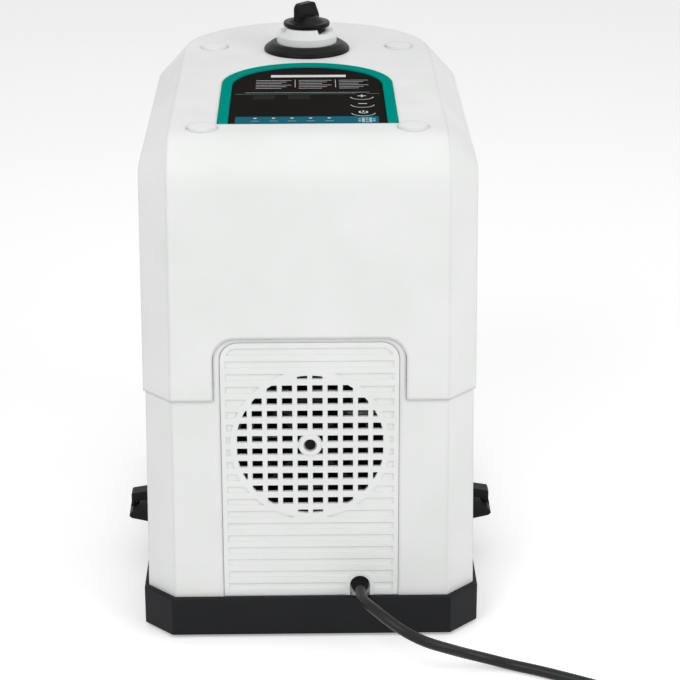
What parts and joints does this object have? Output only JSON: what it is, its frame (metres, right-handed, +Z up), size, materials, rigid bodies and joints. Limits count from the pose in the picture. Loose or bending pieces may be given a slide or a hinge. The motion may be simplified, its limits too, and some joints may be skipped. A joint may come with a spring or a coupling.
{
  "type": "oxygen concentrator",
  "caption": "Floor-standing oxygen concentrator: white moulded case on a black tray, round fan grille, top control panel, wing-nut plug on the top and a mains lead.",
  "frame": {"origin": "on the surface the rubber feet stand on, at the middle of the base tray", "axes": "+Z up, fan grille and mains lead face -Y, bowed end with the filter door faces +Y, X across the case"},
  "size_m": [0.5509, 0.6891, 0.4505],
  "materials": {
    "black_base": "satin moulded",
    "rubber": "matte",
    "white_shell": "fine satin moulded",
    "white_cap": "smooth",
    "steel": "zinc plated",
    "fan_black": "moulded",
    "cord_vinyl": "soft vinyl",
    "plated_pin": "nickel plated",
    "teal_plastic": "smooth",
    "overlay_film": "dark film",
    "window_film": "smoked",
    "strip_film": "blue film",
    "light_lens": "diffusing",
    "circuit_board": "solder mask",
    "black_knob": "satin",
    "natural_nylon": "translucent",
    "foam": "open cell",
    "cast_alloy": "cast",
    "motor_iron": "lacquered",
    "fan_nylon": "moulded",
    "drawn_alloy": "satin",
    "valve_parts": "moulded",
    "silicone": "soft"
  },
  "bodies": {
    "housing": {"air_hoses": "silicone", "base_tray": "black_base", "bed_caps": "cast_alloy", "bezel_frame": "teal_plastic", "chassis_frame": "steel", "compressor_plate": "steel", "control_board": "circuit_board", "control_overlay": "overlay_film", "cooler_fins": "drawn_alloy", "cooler_tube": "drawn_alloy", "crank_cases": "cast_alloy", "cylinder_barrels": "cast_alloy", "cylinder_heads": "cast_alloy", "display_windows": "window_film", "exhaust_muffler": "valve_parts", "fan_frame": "fan_black", "fan_guard": "fan_black", "filter_foam": "foam", "grille_panel": "white_shell", "grille_screw": "fan_black", "hood": "white_shell", "hood_screws": "steel", "indicator_lights": "light_lens", "latch_brackets": "black_base", "lead_coil": "cord_vinyl", "lead_tail": "cord_vinyl", "lower_housing": "white_shell", "mains_lead": "cord_vinyl", "mains_plug": "cord_vinyl", "motor_stator": "motor_iron", "mount_bolts": "steel", "plug_pins": "plated_pin", "port_collar": "black_knob", "power_board": "circuit_board", "pressure_regulator": "valve_parts", "product_tank": "drawn_alloy", "rubber_feet": "rubber", "run_capacitor": "drawn_alloy", "screw_caps": "white_cap", "sieve_beds": "drawn_alloy", "slot_ring": "natural_nylon", "small_screws": "steel", "solenoid_valves": "valve_parts", "status_strip": "strip_film", "strain_relief": "rubber", "terminal_block": "natural_nylon", "valve_manifold": "cast_alloy", "vibration_mounts": "rubber"},
    "fan": {"fan_rotor": "fan_black"},
    "motor": {"motor_rotor": "motor_iron", "cooling_fans": "fan_nylon"},
    "plus_key": {"plus_button": "overlay_film"},
    "minus_key": {"minus_button": "overlay_film"},
    "power_key": {"power_button": "overlay_film"},
    "port_plug": {"plug_stem": "black_knob", "plug_seal": "rubber", "wing_knob": "black_knob"},
    "right_latch": {"right_latch_lever": "black_base"},
    "left_latch": {"left_latch_lever": "black_base"},
    "rear_door": {"filter_door": "white_shell"}
  },
  "joints": [
    {"name": "fan_spin", "type": "hinge", "parent": "housing", "child": "fan", "pos_m": [0, -0.21642, 0.1653], "axis": [0, -0.9999, 0.015], "continuous": true},
    {"name": "motor_spin", "type": "hinge", "parent": "housing", "child": "motor", "pos_m": [0, 0.02, 0.077], "axis": [1, 0, 0], "continuous": true},
    {"name": "plus_press", "type": "slide", "parent": "housing", "child": "plus_key", "axis": [0, 0, -1], "range_m": [0, 0.0008], "stiffness_N_per_m": 600, "springref_m": -0.0005},
    {"name": "minus_press", "type": "slide", "parent": "housing", "child": "minus_key", "axis": [0, 0, -1], "range_m": [0, 0.0008], "stiffness_N_per_m": 600, "springref_m": -0.0005},
    {"name": "power_press", "type": "slide", "parent": "housing", "child": "power_key", "axis": [0, 0, -1], "range_m": [0, 0.0008], "stiffness_N_per_m": 600, "springref_m": -0.0005},
    {"name": "knob_turn", "type": "hinge", "parent": "housing", "child": "port_plug", "pos_m": [0, 0.0855, 0.409], "axis": [0, 0, 1], "range_deg": [0, 80]},
    {"name": "right_latch_swing", "type": "hinge", "parent": "housing", "child": "right_latch", "pos_m": [0.15191, -0.0635, 0.0439], "axis": [0, 1, 0], "range_deg": [0, 95]},
    {"name": "left_latch_swing", "type": "hinge", "parent": "housing", "child": "left_latch", "pos_m": [-0.15191, -0.0635, 0.0439], "axis": [0, -1, 0], "range_deg": [0, 95]},
    {"name": "rear_door_pull", "type": "slide", "parent": "housing", "child": "rear_door", "axis": [0, 1, 0], "range_m": [0, 0.03]}
  ]
}
